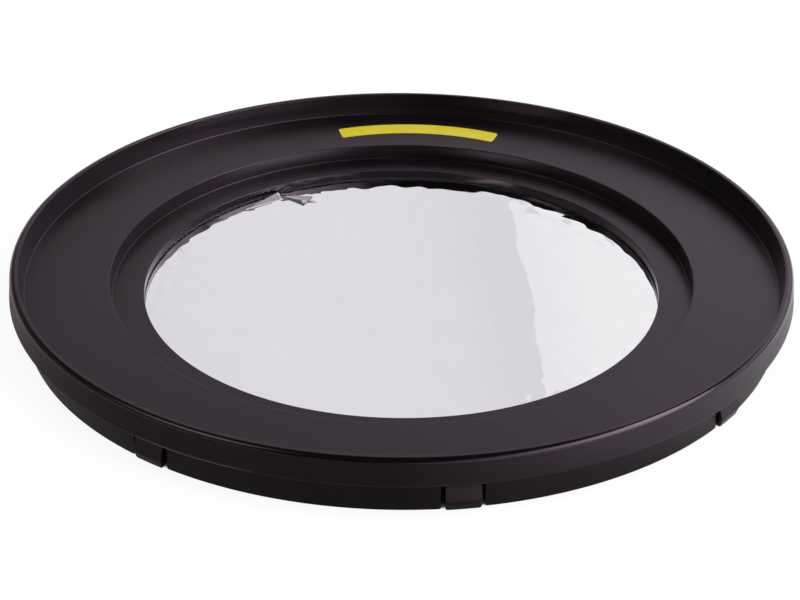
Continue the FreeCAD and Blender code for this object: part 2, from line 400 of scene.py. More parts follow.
def crease_height(x, y):
    """How far the creases and furrows move the film, in millimetres."""
    spot = Vector((x, y))
    height = 0.0
    for corners, slopes in CREASES:
        rises = [slope * side_distance(spot, corners[index], corners[(index + 1) % 3])[0]
                 for index, slope in enumerate(slopes)]
        if slopes[0] > 0 and min(rises) > 0:
            height += min(rises) * (1 + 0.2 * noise.noise(Vector((x / 1.6, y / 1.6, 2.0))))
        if slopes[0] < 0 and max(rises) < 0:
            height += max(rises)
    for ends, widths, depth in FURROWS:
        across, along = side_distance(spot, *ends)
        if 0 < along < 1:
            front, middle, back = (width * (1 - along) for width in widths)
            part = ((across - front) / (middle - front) if across < middle
                    else (back - across) / (back - middle))
            height -= depth * (1 - along) * max(0.0, part)
    return height


def film_columns():
    """Angles of the film's columns, closer together beside the crease."""
    fine, coarse, growth, sweep = 0.22, 0.9, 0.05, 11
    angles, angle = [], 0.0
    while angle < 359.6:
        angles.append(CREASE_TURN_DEG + 180 + angle)
        away = abs(angle - 180)
        angle += fine if away < sweep else min(coarse, fine + (away - sweep) * growth)
    return angles


def film_radii():
    """Radii of the film's rings, closer together near the edge."""
    fine, coarse, growth, band = 0.36, 3.4, 0.14, 18
    radii, radius = [], GASKET_BORE
    while radius > 3:
        radii.append(radius)
        inside = GASKET_BORE - radius
        radius -= fine if inside < band else min(coarse, fine + (inside - band) * growth)
    return [FILM_RADIUS, (FILM_RADIUS + GASKET_BORE) / 2, *radii]


def film_bmesh(settings):
    """The film's two skins, joined at its edge."""
    bm = bmesh.new()
    angles, radii = film_columns(), film_radii()
    heights = {}
    skins = []
    for level in (FILM_TOP, FILM_BACK):
        rings = []
        for radius in radii:
            ring = []
            for degrees in angles:
                place = (radius, degrees)
                if place not in heights:
                    turn = math.radians(degrees)
                    heights[place] = film_height(
                        radius * math.cos(turn), radius * math.sin(turn),
                        settings.ripple / MM, settings.slack / MM, settings.crease)
                ring.append(bm.verts.new(turned_point(radius, degrees, level + heights[place])))
            rings.append(ring)
        bm.faces.new(rings[-1])
        for outer, inner in zip(rings, rings[1:]):
            for index in range(len(angles)):
                bm.faces.new((outer[index - 1], outer[index], inner[index], inner[index - 1]))
        skins.append(rings[0])
    for index in range(len(angles)):
        bm.faces.new((skins[0][index - 1], skins[0][index], skins[1][index], skins[1][index - 1]))
    return bm


# Sticker.

STICKER_RADIUS = 70.0
STICKER_WIDTH = 7.0
STICKER_SWEEP_DEG = 47.5
STICKER_TURN_DEG = 3.1
STICKER_REACH = LIP_FOOT - 9.0
STICKER_ROUND = 0.9
STICKER_SLANT = 0.12
STICKER_COLUMNS = 96


def sticker_point(along, across, height):
    """A point of the sticker: along its middle line, across it, and above the face."""
    middle = STICKER_RADIUS - STICKER_WIDTH / 2
    along -= STICKER_SLANT * across * along / (middle * math.radians(STICKER_SWEEP_DEG) / 2)
    angle = math.radians(90 - STICKER_TURN_DEG) - along / middle
    centre = STICKER_REACH - STICKER_RADIUS
    lean = math.radians(90 - STICKER_TURN_DEG)
    radius = middle + across
    return ((centre * math.cos(lean) + radius * math.cos(angle)) * MM,
            (centre * math.sin(lean) + radius * math.sin(angle)) * MM,
            (FACE + height) * MM)


def sticker_bmesh():
    """A thin strip with rounded corners and a softened top edge."""
    bm = bmesh.new()
    low, high = node_heights("sticker_strip")
    thick = high - low
    half_length = (STICKER_RADIUS - STICKER_WIDTH / 2) * math.radians(STICKER_SWEEP_DEG) / 2
    ends = [half_length - step for step in sorted(edge_steps(STICKER_ROUND, 6))]
    inner = half_length - STICKER_ROUND
    middle = [inner * (1 - 2 * step / STICKER_COLUMNS) for step in range(1, STICKER_COLUMNS)]
    places = ends + middle + [-place for place in reversed(ends)]
    ease = thick / 3
    columns = []
    for along in places:
        from_end = half_length - abs(along)
        half = STICKER_WIDTH / 2 - round_drop(from_end, STICKER_ROUND)
        top = thick if from_end > 1e-6 else thick - ease
        rows = [(-half, 0), (-half, thick - ease), (-half + ease, top)]
        rows += [((-half + ease) + 2 * (half - ease) * step / 6, top) for step in range(1, 6)]
        rows += [(half - ease, top), (half, thick - ease), (half, 0)]
        columns.append([bm.verts.new(sticker_point(along, *row)) for row in rows])
    for one, two in zip(columns, columns[1:]):
        for row in range(len(one)):
            bm.faces.new((one[row - 1], one[row], two[row], two[row - 1]))
    bm.faces.new(columns[0])
    bm.faces.new(columns[-1])
    return bm


# Materials.

def add_node(tree, kind, inputs=None, **attributes):
    """Adds a node, sets its attributes, then sets or links its inputs."""
    node = tree.nodes.new(kind)
    for name, setting in attributes.items():
        setattr(node, name, setting)
    for name, setting in (inputs or {}).items():
        if isinstance(setting, bpy.types.NodeSocket):
            tree.links.new(setting, node.inputs[name])
        else:
            node.inputs[name].default_value = setting
    return node


def calc(tree, operation, *values):
    """A Math node's result."""
    inputs = dict(enumerate(values))
    return add_node(tree, "ShaderNodeMath", inputs, operation=operation).outputs[0]


def spread(tree, value, low, high, to_low=0.0, to_high=1.0, smooth=False):
    """A Map Range node's result, held to its ends."""
    return add_node(tree, "ShaderNodeMapRange",
                    {"Value": value, "From Min": low, "From Max": high,
                     "To Min": to_low, "To Max": to_high},
                    interpolation_type="SMOOTHSTEP" if smooth else "LINEAR").outputs["Result"]


def distance_from_axis(tree, parts):
    """Distance from the filter's axis, from a place's separate parts."""
    squares = (calc(tree, "MULTIPLY", parts[axis], parts[axis]) for axis in "XY")
    return calc(tree, "SQRT", calc(tree, "ADD", *squares))


def mixed(tree, share, one, two):
    """A mix of two colours."""
    node = add_node(tree, "ShaderNodeMix", data_type="RGBA")
    for index, setting in ((0, share), (6, one), (7, two)):
        if isinstance(setting, bpy.types.NodeSocket):
            tree.links.new(setting, node.inputs[index])
        else:
            node.inputs[index].default_value = setting
    return node.outputs[2]


def new_group(name, inputs, outputs):
    """A shader node group with float inputs and outputs, and its two end nodes."""
    group = bpy.data.node_groups.new(name, "ShaderNodeTree")
    for label, default in inputs:
        socket = group.interface.new_socket(label, in_out="INPUT", socket_type="NodeSocketFloat")
        socket.default_value = default
    for label in outputs:
        group.interface.new_socket(label, in_out="OUTPUT", socket_type="NodeSocketFloat")
    return group, group.nodes.new("NodeGroupInput"), group.nodes.new("NodeGroupOutput")


def moulded_grain_group():
    """Fine pitted texture of a moulded surface, and slow patches of more or less shine."""
    name = "moulded_grain"
    if name in bpy.data.node_groups:
        return bpy.data.node_groups[name]
    group, start, end = new_group(
        name, (("Grain scale", 2400.0), ("Patch scale", 60.0)), ("Height", "Patches"))
    place = add_node(group, "ShaderNodeTexCoord").outputs["Object"]
    grain = add_node(group, "ShaderNodeTexNoise",
                     {"Vector": place, "Scale": start.outputs["Grain scale"],
                      "Detail": 2.0, "Roughness": 0.6})
    pits = add_node(group, "ShaderNodeTexVoronoi",
                    {"Vector": place, "Scale": start.outputs["Grain scale"]},
                    feature="SMOOTH_F1")
    patches = add_node(group, "ShaderNodeTexNoise",
                       {"Vector": place, "Scale": start.outputs["Patch scale"],
                        "Detail": 4.0, "Roughness": 0.55})
    height = calc(group, "MULTIPLY_ADD", pits.outputs["Distance"], 0.35, grain.outputs["Fac"])
    group.links.new(height, end.inputs["Height"])
    group.links.new(patches.outputs["Fac"], end.inputs["Patches"])
    return group


def blank_material(name):
    """A material with only its output and shader."""
    material = bpy.data.materials.new(name)
    material.use_nodes = True
    tree = material.node_tree
    tree.nodes.clear()
    output = tree.nodes.new("ShaderNodeOutputMaterial")
    shader = tree.nodes.new("ShaderNodeBsdfPrincipled")
    tree.links.new(shader.outputs[0], output.inputs["Surface"])
    return material, tree, shader


def grain_node(tree, grain_scale, patch_scale):
    """The moulded grain with its own two scales."""
    node = add_node(tree, "ShaderNodeGroup", node_tree=moulded_grain_group())
    node.inputs["Grain scale"].default_value = grain_scale
    node.inputs["Patch scale"].default_value = patch_scale
    return node


# Roughness of the places that the mould's maker polished.
APERTURE_ROUGHNESS = 0.15
RIM_ROUGHNESS = 0.17
LIP_ROUGHNESS = 0.2
PLASTIC_IOR = 1.38
PLASTIC_TINT = (1.0, 0.80, 0.93, 1.0)
# Colour of the painted highlight line along the rim's lower edge.
EDGE_HIGHLIGHT_COLOUR = (0.092, 0.084, 0.085, 1.0)


def rise_mm(tree, value, zero_at, one_at):
    """A mask that goes from 0 to 1 between two places, given in millimetres."""
    return spread(tree, value, zero_at * MM, one_at * MM)


def rim_mask(tree, reach, height):
    """The rounded edge between the lip's top and the outer wall."""
    return calc(tree, "MULTIPLY", rise_mm(tree, reach, RIM_TOP - 1.75, RIM_TOP - 1.4),
                rise_mm(tree, height, LIP_TOP - 2.0, LIP_TOP - 1.5))


def polished(tree, reach, height, rim, rough):
    """The roughness, less on the aperture's wall, the rim and the lip's inside."""
    beyond = rise_mm(tree, reach, APERTURE + 0.05, APERTURE + 0.35)
    rough = spread(tree, beyond, 0.0, 1.0, APERTURE_ROUGHNESS, rough)
    rough = spread(tree, rim, 0.0, 1.0, rough, RIM_ROUGHNESS)
    lip = calc(tree, "MULTIPLY", rise_mm(tree, height, FACE + 0.2, FACE + 0.6),
               rise_mm(tree, reach, LIP_TOP_INNER + 0.3, LIP_TOP_INNER))
    return spread(tree, lip, 0.0, 1.0, rough, LIP_ROUGHNESS)


def painted_edge_highlight(tree, place, parts, reach):
    """Painted highlight along the rim's lower edge, uneven, most of it at the front left."""
    edge = calc(tree, "MULTIPLY", rise_mm(tree, reach, RIM - 0.35, RIM - 0.12),
                rise_mm(tree, parts["Z"], SEAT + 0.65, SEAT + 0.2))
    uneven = add_node(tree, "ShaderNodeTexNoise", {"Vector": place, "Scale": 16.0, "Detail": 3.0})
    highlight_line = calc(tree, "MULTIPLY", edge, spread(tree, uneven.outputs["Fac"], 0.3, 0.6, 0.5, 1.0))
    here = calc(tree, "MULTIPLY", spread(tree, parts["X"], -0.074, -0.066, 0.08, 1.0),
                spread(tree, parts["X"], -0.046, -0.038, 1.0, 0.08))
    front = spread(tree, parts["Y"], -0.06, -0.08)
    return calc(tree, "MULTIPLY", highlight_line, calc(tree, "MULTIPLY", here, front))


def plastic_material(name, colour, roughness, polished_and_painted_edges=False):
    """Black moulded plastic with a satin grain, smoother where the mould was polished. On the cell
    it also gets painted shade on the rim's rounded edge and a painted highlight along the rim's
    lower edge.
    """
    material, tree, shader = blank_material(name)
    shader.inputs["IOR"].default_value = PLASTIC_IOR
    shader.inputs["Specular Tint"].default_value = PLASTIC_TINT
    grain = grain_node(tree, 2600.0, 55.0)
    patches = grain.outputs["Patches"]
    darker = tuple(0.8 * part for part in colour) + (1.0,)
    lighter = tuple(1.2 * part for part in colour) + (1.0,)
    shade = mixed(tree, spread(tree, patches, 0.3, 0.7), darker, lighter)
    rough = spread(tree, patches, 0.3, 0.7, roughness - 0.02, roughness + 0.02)
    if polished_and_painted_edges:
        place = add_node(tree, "ShaderNodeTexCoord").outputs["Object"]
        parts = add_node(tree, "ShaderNodeSeparateXYZ", {"Vector": place}).outputs
        reach = distance_from_axis(tree, parts)
        rim = rim_mask(tree, reach, parts["Z"])
        rough = polished(tree, reach, parts["Z"], rim, rough)
        # Painted shade: the rim's rounded edge gets a darker base colour, so its dark line reads
        # darker.
        shade = mixed(tree, rim, shade, darker)
        # Painted highlight: a lighter line along the rim's lower edge, most of it at the front
        # left.
        shade = mixed(tree, painted_edge_highlight(tree, place, parts, reach), shade, EDGE_HIGHLIGHT_COLOUR)
    tree.links.new(shade, shader.inputs["Base Color"])
    tree.links.new(rough, shader.inputs["Roughness"])
    bump = add_node(tree, "ShaderNodeBump",
                    {"Strength": 0.16, "Distance": 0.00003, "Height": grain.outputs["Height"]})
    tree.links.new(bump.outputs[0], shader.inputs["Normal"])
    return material


def film_material(colour):
    """Silvery metallised film with faint draw lines."""
    material, tree, shader = blank_material("metallised_film_skin")
    shader.inputs["Metallic"].default_value = 1.0
    place = add_node(tree, "ShaderNodeTexCoord").outputs["Object"]
    stretched = add_node(tree, "ShaderNodeMapping",
                         {"Vector": place, "Scale": (420.0, 130.0, 1.0)})
    lines = add_node(tree, "ShaderNodeTexNoise",
                     {"Vector": stretched.outputs[0], "Scale": 1.0, "Detail": 3.0})
    cloud = add_node(tree, "ShaderNodeTexNoise", {"Vector": place, "Scale": 70.0, "Detail": 5.0})
    shade = calc(tree, "ADD", calc(tree, "MULTIPLY", lines.outputs["Fac"], 0.5),
                 calc(tree, "MULTIPLY", cloud.outputs["Fac"], 0.5))
    dull = tuple(0.982 * part for part in colour) + (1.0,)
    bright = tuple(min(1.0, 1.012 * part) for part in colour) + (1.0,)
    tree.links.new(mixed(tree, spread(tree, shade, 0.35, 0.65), dull, bright),
                   shader.inputs["Base Color"])
    shader.inputs["Roughness"].default_value = 0.0
    bump = add_node(tree, "ShaderNodeBump",
                    {"Strength": 0.012, "Distance": 0.00002, "Height": lines.outputs["Fac"]})
    tree.links.new(bump.outputs[0], shader.inputs["Normal"])
    return material


def foam_material(colour):
    """Dark grey closed-cell foam."""
    material, tree, shader = blank_material("gasket_foam_skin")
    place = add_node(tree, "ShaderNodeTexCoord").outputs["Object"]
    cells = add_node(tree, "ShaderNodeTexVoronoi", {"Vector": place, "Scale": 2600.0})
    shade = spread(tree, cells.outputs["Distance"], 0.0, 0.8)
    darker = tuple(0.7 * part for part in colour) + (1.0,)
    lighter = tuple(1.25 * part for part in colour) + (1.0,)
    tree.links.new(mixed(tree, shade, darker, lighter), shader.inputs["Base Color"])
    tree.links.new(spread(tree, shade, 0.0, 1.0, 0.78, 0.9), shader.inputs["Roughness"])
    bump = add_node(tree, "ShaderNodeBump",
                    {"Strength": 0.5, "Distance": 0.0001, "Height": cells.outputs["Distance"]})
    tree.links.new(bump.outputs[0], shader.inputs["Normal"])
    return material


def vinyl_material(colour):
    """Yellow vinyl, a little paler in patches."""
    material, tree, shader = blank_material("sticker_vinyl_skin")
    shader.inputs["IOR"].default_value = 1.33
    grain = grain_node(tree, 1500.0, 130.0)
    patches = grain.outputs["Patches"]
    paler = tuple(part + (1 - part) * 0.07 for part in colour) + (1.0,)
    tree.links.new(mixed(tree, spread(tree, patches, 0.4, 0.75), tuple(colour) + (1.0,), paler),
                   shader.inputs["Base Color"])
    tree.links.new(spread(tree, patches, 0.3, 0.7, 0.46, 0.56), shader.inputs["Roughness"])
    bump = add_node(tree, "ShaderNodeBump",
                    {"Strength": 0.08, "Distance": 0.00003, "Height": grain.outputs["Height"]})
    tree.links.new(bump.outputs[0], shader.inputs["Normal"])
    return material


def dress_node(name, material):
    """Gives a carried-over node its material."""
    node = NODES[name]
    node.data.materials.clear()
    node.data.materials.append(material)


# Stage.

# Degrees from the far side, positive to the right, and the studio walls' light there: first as
# the plastic's gloss sees it, then as the film mirrors it.
STUDIO_STOPS = (
    (-180, (0.02, 0.02, 0.02)),
    (-150, (0.02, 0.02, 0.02)),
    (-138, (0.16, 0.165, 0.145)),
    (-100, (0.15, 0.155, 0.135)),
    (-60, (0.055, 0.047, 0.054)),
    (-26, (0.032, 0.027, 0.031)),
    (-18, (0.095, 0.081, 0.094)),
    (-12, (0.140, 0.120, 0.139)),
    (-5, (0.180, 0.158, 0.178)),
    (3, (0.186, 0.164, 0.184)),
    (7, (0.238, 0.212, 0.240)),
    (12, (0.345, 0.305, 0.352)),
    (40, (0.42, 0.363, 0.430)),
    (90, (0.66, 0.62, 0.69)),
    (118, (0.46, 0.44, 0.465)),
    (128, (0.37, 0.35, 0.375)),
    (137, (0.19, 0.18, 0.19)),
    (147, (0.05, 0.05, 0.05)),
    (158, (0.02, 0.02, 0.02)),
    (180, (0.02, 0.02, 0.02)),
)
# Soft boxes that only the plastic's gloss sees: the brightness of each along its slanted place,
# then how it rises and falls with the level above the floor.
BOX_RIGHT_STOPS = (
    (40, (0.0, 0.0, 0.0)),
    (51, (0.0, 0.0, 0.0)),
    (57, (0.75, 0.70, 0.75)),
    (66, (0.88, 0.82, 0.88)),
    (80, (1.0, 0.93, 1.0)),
    (100, (0.85, 0.79, 0.85)),
    (118, (0.50, 0.47, 0.50)),
    (127, (0.25, 0.235, 0.25)),
    (136, (0.06, 0.055, 0.06)),
    (145, (0.0, 0.0, 0.0)),
    (150, (0.0, 0.0, 0.0)),
)
BOX_RIGHT_LEVELS = (
    (0, 0.08), (6, 0.14), (16, 0.28), (30, 0.66), (42, 1.0), (55, 1.0), (60, 0.0),
)
BOX_LEFT_STOPS = (
    (-145, (0.0, 0.0, 0.0)),
    (-138, (0.0, 0.0, 0.0)),
    (-126, (0.60, 0.58, 0.57)),
    (-115, (1.0, 0.96, 0.95)),
    (-98, (1.0, 0.96, 0.95)),
    (-85, (0.72, 0.69, 0.68)),
    (-72, (0.22, 0.21, 0.21)),
    (-60, (0.05, 0.05, 0.05)),
    (-50, (0.0, 0.0, 0.0)),
)
BOX_LEFT_LEVELS = ((32, 0.0), (44, 0.6), (52, 1.0), (60, 1.0), (66, 0.0))
# Each soft box's slant, its stops along its place and along the level, and its strength. A
# slanted place moves to the right with every degree above the slant's level.
SOFT_BOXES = (
    (1.25, BOX_RIGHT_STOPS, BOX_RIGHT_LEVELS, 11.0),
    (0.0, BOX_LEFT_STOPS, BOX_LEFT_LEVELS, 3.8),
)
SLANT_LEVEL_DEG = 50
MIRRORED_STOPS = (
    (-180, (0.02, 0.02, 0.02)),
    (-157, (0.02, 0.02, 0.02)),
    (-150, (0.70, 0.66, 0.68)),
    (-140, (1.35, 1.28, 1.30)),
    (-131, (1.60, 1.52, 1.52)),
    (-124, (0.15, 0.14, 0.14)),
    (-60, (0.14, 0.13, 0.134)),
    (-30, (0.12, 0.11, 0.12)),
    (-13, (0.14, 0.134, 0.142)),
    (-8, (0.232, 0.229, 0.2385)),
    (-5, (0.2437, 0.2407, 0.2498)),
    (1.0, (0.2437, 0.2407, 0.2498)),
    (2.4, (0.232, 0.228, 0.239)),
    (3.75, (0.2235, 0.2195, 0.2295)),
    (5.2, (0.242, 0.242, 0.243)),
    (8, (0.245, 0.245, 0.245)),
    (12, (0.26, 0.255, 0.26)),
    (40, (0.20, 0.19, 0.20)),
    (60, (0.15, 0.14, 0.15)),
    (112, (0.15, 0.14, 0.15)),
    (121, (1.45, 1.50, 1.62)),
    (145, (1.20, 1.25, 1.36)),
    (157, (0.80, 0.83, 0.90)),
    (162, (0.02, 0.02, 0.02)),
    (180, (0.02, 0.02, 0.02)),
)
# The share of the walls' light that the plastic's gloss sees near the horizon.
LOW_STOPS = (
    (-180, (1.0, 1.0, 1.0)),
    (-60, (0.7, 0.7, 0.7)),
    (-45, (1.0, 1.0, 1.0)),
    (-34, (5.0, 5.0, 5.0)),
    (-14, (3.6, 3.6, 3.6)),
    (-2, (1.0, 1.0, 1.0)),
    (6, (0.1, 0.1, 0.1)),
    (60, (0.1, 0.1, 0.1)),
    (100, (0.7, 0.7, 0.7)),
    (180, (1.0, 1.0, 1.0)),
)
STUDIO_SCALE = 4.0
# The walls reach higher on the far side than behind the camera, and fade above their top.
FAR_SIDE_DEG, NEAR_SIDE_DEG = 45, 80
FAR_TOP_DEG, NEAR_TOP_DEG = 42, 18
WALL_FADE_DEG = 11
# The film mirrors a slanted border between two walls, and a dim grey where no wall stands.
STUDIO_SLANT = 0.26
CAMERA_LEVEL_DEG = 29
BORDER_DEG = 3.75
BORDER_HALF_WIDTH_DEG = 0.03
BORDER_SHARE = 0.85
MIRRORED_FILL = (0.38, 0.35, 0.42)


def colour_ramp(tree, value, stops):
    """Colours laid out along a value, from the first stop's place to the last one's."""
    low, high = stops[0][0], stops[-1][0]
    ramp = add_node(tree, "ShaderNodeValToRGB", {"Fac": spread(tree, value, low, high)})
    elements = ramp.color_ramp.elements
    while len(elements) < len(stops):
        elements.new(0.5)
    for element, (place, colour) in zip(elements, stops):
        element.position = (place - low) / (high - low)
        element.color = (*colour, 1.0)
    return ramp.outputs[0]


def scaled(tree, colour, factor):
    """A colour times a value."""
    node = add_node(tree, "ShaderNodeVectorMath", {0: colour}, operation="SCALE")
    tree.links.new(factor, node.inputs["Scale"])
    return node.outputs[0]


def wall_share(tree, level, top):
    """How much of the walls' light is left at a level, which fades above their top."""
    above = calc(tree, "SUBTRACT", level, top)
    return spread(tree, above, 0, WALL_FADE_DEG, STUDIO_SCALE, 0, smooth=True)


def plastic_glow(tree, azimuth, aside, level, top):
    """The walls and the soft boxes as the plastic's gloss sees them."""
    low = colour_ramp(tree, azimuth, LOW_STOPS)
    by_level = calc(tree, "MULTIPLY", spread(tree, level, 4, 18, low, 0.88),
                    spread(tree, level, 18, 34, 1.0, 1.20))
    raised = spread(tree, aside, 12, 24, 42, 29, smooth=True)
    raised = calc(tree, "MINIMUM", raised, spread(tree, top, 18, 42, 18, 50))
    share = calc(tree, "MULTIPLY", by_level, wall_share(tree, level, raised))
    glow = scaled(tree, colour_ramp(tree, azimuth, STUDIO_STOPS), share)
    over = calc(tree, "SUBTRACT", level, SLANT_LEVEL_DEG)
    for slant, stops, levels, scale in SOFT_BOXES:
        place = calc(tree, "MULTIPLY_ADD", over, slant, azimuth)
        greys = [(spot, (grey, grey, grey)) for spot, grey in levels]
        share = calc(tree, "MULTIPLY", colour_ramp(tree, level, greys), scale)
        box = scaled(tree, colour_ramp(tree, place, stops), share)
        glow = add_node(tree, "ShaderNodeVectorMath", {0: glow, 1: box}).outputs[0]
    return glow


def film_glow(tree, azimuth, level, top):
    """The walls as the film mirrors them, with their sharp border."""
    slant = calc(tree, "MULTIPLY_ADD", level, -STUDIO_SLANT, STUDIO_SLANT * CAMERA_LEVEL_DEG)
    leaning = calc(tree, "ADD", azimuth, slant)
    border = spread(tree, leaning, BORDER_DEG - BORDER_HALF_WIDTH_DEG,
                    BORDER_DEG + BORDER_HALF_WIDTH_DEG, BORDER_SHARE, 1.0)
    share = calc(tree, "MULTIPLY", border, wall_share(tree, level, top))
    glow = scaled(tree, colour_ramp(tree, leaning, MIRRORED_STOPS), share)
    return add_node(tree, "ShaderNodeVectorMath", {0: glow, 1: MIRRORED_FILL},
                    operation="MAXIMUM").outputs[0]


def studio_glow(tree, singular):
    """Light of the studio, for reflections only. Angles are in degrees from the far side."""
    way = add_node(tree, "ShaderNodeTexCoord").outputs["Generated"]
    parts = add_node(tree, "ShaderNodeSeparateXYZ", {"Vector": way}).outputs
    azimuth = calc(tree, "DEGREES", calc(tree, "ARCTAN2", parts["X"], parts["Y"]))
    level = calc(tree, "DEGREES", calc(tree, "ARCSINE", parts["Z"]))
    aside = calc(tree, "ABSOLUTE", azimuth)
    top = spread(tree, aside, FAR_SIDE_DEG, NEAR_SIDE_DEG, FAR_TOP_DEG, NEAR_TOP_DEG, smooth=True)
    glossy = plastic_glow(tree, azimuth, aside, level, top)
    return mixed(tree, singular, glossy, film_glow(tree, azimuth, level, top))


def build_world(settings):
    """White to the camera, a dim studio to reflections and an even light to the rest."""
    world = bpy.data.worlds.new("studio")
    world.use_nodes = True
    tree = world.node_tree
    tree.nodes.clear()
    path = add_node(tree, "ShaderNodeLightPath").outputs
    even = settings.even_light
    glow = studio_glow(tree, path["Is Singular Ray"])
    light = mixed(tree, path["Is Glossy Ray"], (even, even, even, 1.0), glow)
    seen = calc(tree, "MAXIMUM", path["Is Camera Ray"], path["Is Transmission Ray"])
    colour = mixed(tree, seen, light, (1.0, 1.0, 1.0, 1.0))
    shade = add_node(tree, "ShaderNodeBackground", {"Color": colour, "Strength": 1.0})
    output = tree.nodes.new("ShaderNodeOutputWorld")
    tree.links.new(shade.outputs[0], output.inputs["Surface"])
    bpy.context.scene.world = world


# Places from left to right in metres, and the painted reflection of the floor there: the tinted
# glow that the plastic's gloss sees.
FLOOR_TINTS = (
    (-0.16, (0.50, 0.44, 0.41)),
    (-0.12, (0.25, 0.225, 0.215)),
    (-0.09, (0.29, 0.28, 0.265)),
    (0.00, (0.22, 0.235, 0.20)),
    (0.05, (0.62, 0.60, 0.64)),
    (0.09, (1.40, 1.35, 1.45)),
    (0.13, (1.15, 1.12, 1.18)),
    (0.16, (1.05, 1.02, 1.08)),
)


def floor_material(settings):
    """Pale floor that keeps the shadow and reads as white round it. Its colour is painted dark
    under the object (painted shadow), and for the gloss it glows with a painted reflection.
    """
    material = bpy.data.materials.new("pale_floor")
    material.use_nodes = True
    tree = material.node_tree
    tree.nodes.clear()
    path = add_node(tree, "ShaderNodeLightPath").outputs
    place = add_node(tree, "ShaderNodeTexCoord").outputs["Object"]
    parts = add_node(tree, "ShaderNodeSeparateXYZ", {"Vector": place}).outputs
    reach = distance_from_axis(tree, parts)
    pale = add_node(tree, "ShaderNodeBsdfDiffuse", {"Color": (0.85, 0.85, 0.85, 1.0)})
    glow = add_node(tree, "ShaderNodeEmission", {"Color": (1.0, 1.0, 1.0, 1.0), "Strength": 1.04})
    shaded = spread(tree, reach, (SKIRT - 1.2) * MM, (SKIRT + 0.1) * MM,
                    1.0, settings.shadow_share, smooth=True)
    # Painted shadow: the floor's own colour turns dark under the object, 0.85 in the open and 0.12
    # inside the skirt.
    under = spread(tree, reach, (SKIRT - 3.5) * MM, (SKIRT - 1.5) * MM, 0.12, 0.85)
    shadow = add_node(tree, "ShaderNodeBsdfDiffuse", {"Color": under})
    seen = add_node(tree, "ShaderNodeMixShader",
                    {0: shaded, 1: glow.outputs[0], 2: shadow.outputs[0]})
    # Painted reflection: for the gloss the floor glows, tinted from left to right. The glow is
    # dimmed close to the object, more on the right (painted shadow), is nearly out under its foot,
    # and is doubled far away.
    side = spread(tree, parts["X"], 0.0, 0.07, 1.1, 0.45)
    foot = spread(tree, reach, (SKIRT - 2.0) * MM, SKIRT * MM, 0.04, side)
    near = calc(tree, "MULTIPLY", spread(tree, reach, SKIRT * MM, 1.2 * RIM * MM, foot, 1.0),
                spread(tree, reach, 1.25 * RIM * MM, 2 * RIM * MM, 1.0, 2.0))
    tint = colour_ramp(tree, parts["X"], FLOOR_TINTS)
    mirrored = add_node(tree, "ShaderNodeEmission", {"Color": tint, "Strength": near})
    matt = add_node(tree, "ShaderNodeMixShader",
                    {0: path["Is Glossy Ray"], 1: pale.outputs[0], 2: mirrored.outputs[0]})
    both = add_node(tree, "ShaderNodeMixShader",
                    {0: path["Is Camera Ray"], 1: matt.outputs[0], 2: seen.outputs[0]})
    output = tree.nodes.new("ShaderNodeOutputMaterial")
    tree.links.new(both.outputs[0], output.inputs["Surface"])
    return material


def add_floor(settings):
    """The floor that the filter stands on."""
    half = 3.0
    mesh = bpy.data.meshes.new("floor")
    corners = [(-half, -half, 0), (half, -half, 0), (half, half, 0), (-half, half, 0)]
    mesh.from_pydata(corners, [], [(0, 1, 2, 3)])
    mesh.materials.append(floor_material(settings))
    floor = bpy.data.objects.new("floor", mesh)
    bpy.context.scene.collection.objects.link(floor)


# Each lamp's name, azimuth and level in degrees, width and height in metres, glow and colour.
# Azimuth 0 is the camera's side.
LAMPS = (
    ("soft_lamp_left", -50, 50, 0.50, 0.22, 7.0, (0.97, 1.0, 0.92)),
    ("soft_lamp_right", 66, 50, 0.85, 0.26, 12.0, (0.97, 0.96, 1.0)),
)
LAMP_DISTANCE = 1.2


def add_lamp(name, azimuth_deg, level_deg, width, height, glow, colour):
    """A soft rectangular lamp that faces the object and leaves the gloss to the studio."""
    azimuth, level = math.radians(azimuth_deg), math.radians(level_deg)
    away = Vector((math.sin(azimuth) * math.cos(level), -math.cos(azimuth) * math.cos(level),
                   math.sin(level)))
    data = bpy.data.lights.new(name, "AREA")
    data.shape = "RECTANGLE"
    data.size, data.size_y = width, height
    data.energy = glow * math.pi * width * height
    data.color = colour
    lamp = bpy.data.objects.new(name, data)
    lamp.location = away * LAMP_DISTANCE
    lamp.rotation_mode = "QUATERNION"
    lamp.rotation_quaternion = away.to_track_quat("Z", "Y")
    lamp.visible_glossy = False
    bpy.context.scene.collection.objects.link(lamp)


def add_camera(settings):
    """The camera at the photograph's viewing angle."""
    data = bpy.data.cameras.new("camera")
    data.sensor_width = 36.0
    data.lens = settings.lens
    data.shift_x = -0.00175
    data.shift_y = 0.0005
    data.clip_start, data.clip_end = 0.05, 20.0
    camera = bpy.data.objects.new("camera", data)
    level = settings.elevation
    away = Vector((0.0, -math.cos(level), math.sin(level)))
    camera.location = away * settings.distance
    camera.rotation_mode = "QUATERNION"
    roll = Quaternion((0.0, 0.0, 1.0), settings.roll)
    camera.rotation_quaternion = away.to_track_quat("Z", "Y") @ roll
    bpy.context.scene.collection.objects.link(camera)
    bpy.context.scene.camera = camera


# Add-on.

class SolarFilterCellSettings(bpy.types.PropertyGroup):
    colour: FloatVectorProperty(
        name="Plastic colour", description="Colour of the moulded plastic",
        default=(0.0042, 0.0029, 0.0036), min=0.0, max=1.0, subtype="COLOR")
    roughness: FloatProperty(
        name="Roughness", description="How matt the moulded plastic is",
        default=0.33, min=0.05, max=1.0, subtype="FACTOR")
    tab_spring: FloatProperty(
        name="Tab spring", description="How far a sprung tab stands out of the skirt",
        default=0.0015, min=0.0, max=0.0020, subtype="DISTANCE", unit="LENGTH")


